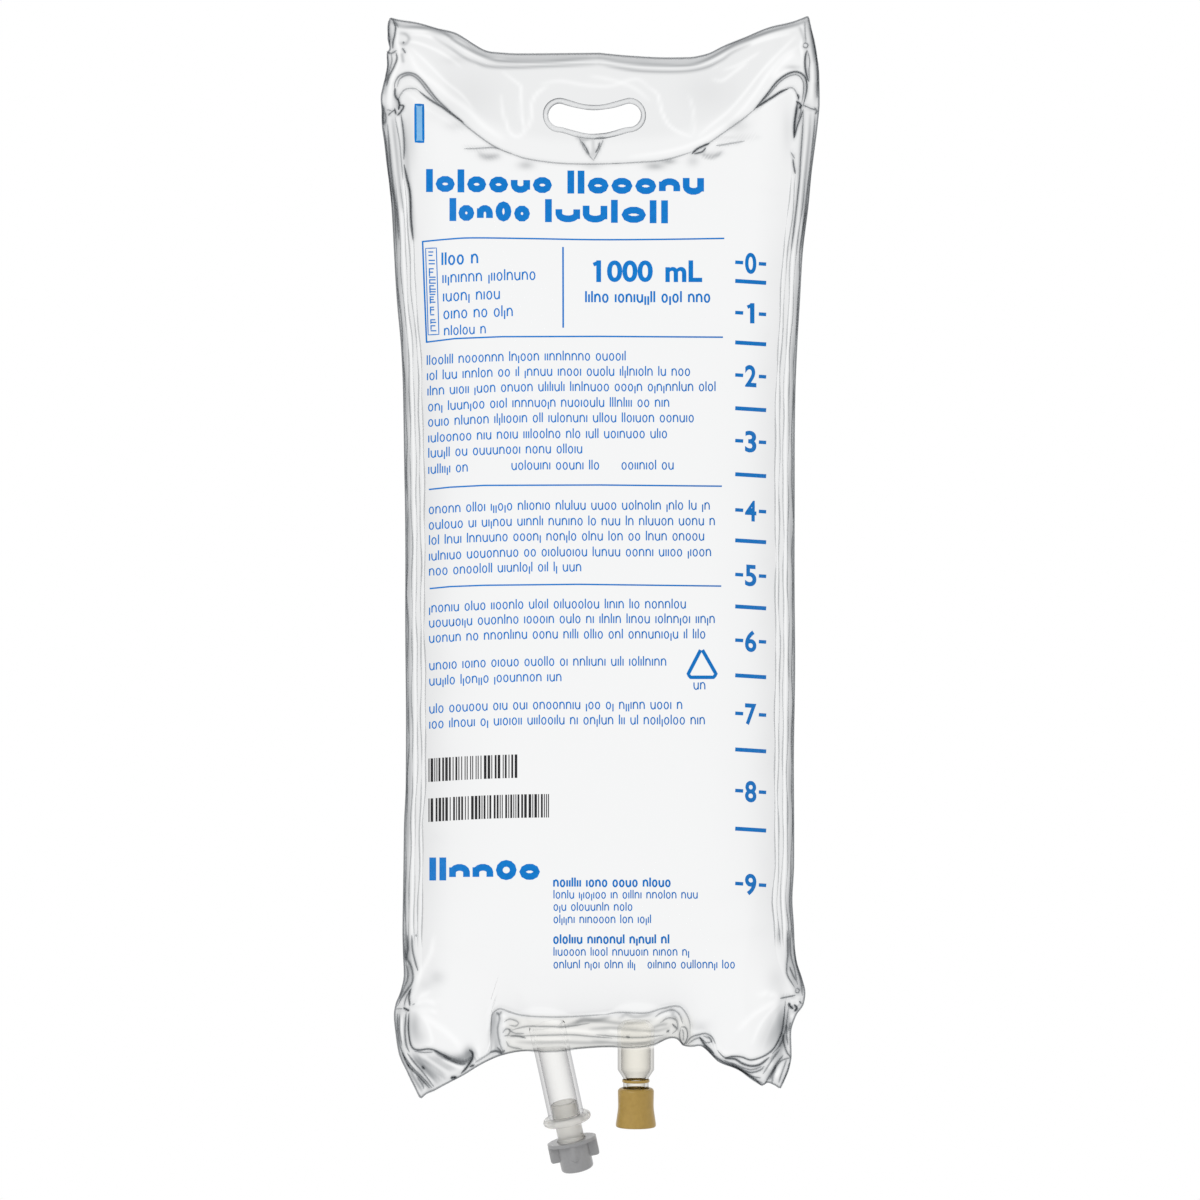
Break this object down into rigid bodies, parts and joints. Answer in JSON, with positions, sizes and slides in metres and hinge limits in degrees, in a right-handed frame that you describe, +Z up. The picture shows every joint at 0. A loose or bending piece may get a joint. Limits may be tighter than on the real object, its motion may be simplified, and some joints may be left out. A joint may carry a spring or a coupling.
{
  "type": "iv fluid bag",
  "caption": "Full clear infusion bag of welded film with a hanger slot, a set port with a grey twist-off cap and an injection port with a tan rubber stopper.",
  "frame": {"origin": "the hanging point: the middle of the upper edge of the hanger slot", "axes": "+Z up as the bag hangs, -Y out of the printed front, +X to the right seen from the front"},
  "size_m": [0.1272, 0.0708, 0.3363],
  "materials": {
    "film": "clear, glossy, crinkled at the seals",
    "liquid": "clear liquid",
    "port_tube": "clear, slightly cloudy",
    "fitting": "milky, glossy",
    "cap": "satin moulded grey",
    "injection_tube": "clear with a yellow tint",
    "stopper": "tan, satin"
  },
  "bodies": {
    "bag": {"front_film": "film", "back_film": "film", "solution": "liquid", "set_port_tube": "port_tube", "set_port_fitting": "fitting", "set_port_membrane": "fitting", "injection_port_tube": "injection_tube", "injection_port_band": "stopper", "injection_port_stopper": "stopper"},
    "cap": {"set_port_cap": "cap"}
  },
  "joints": [
    {"name": "cap_pull", "type": "slide", "parent": "bag", "child": "cap", "axis": [0.2064, 0.1219, -0.9709], "range_m": [0, 0.035]}
  ]
}
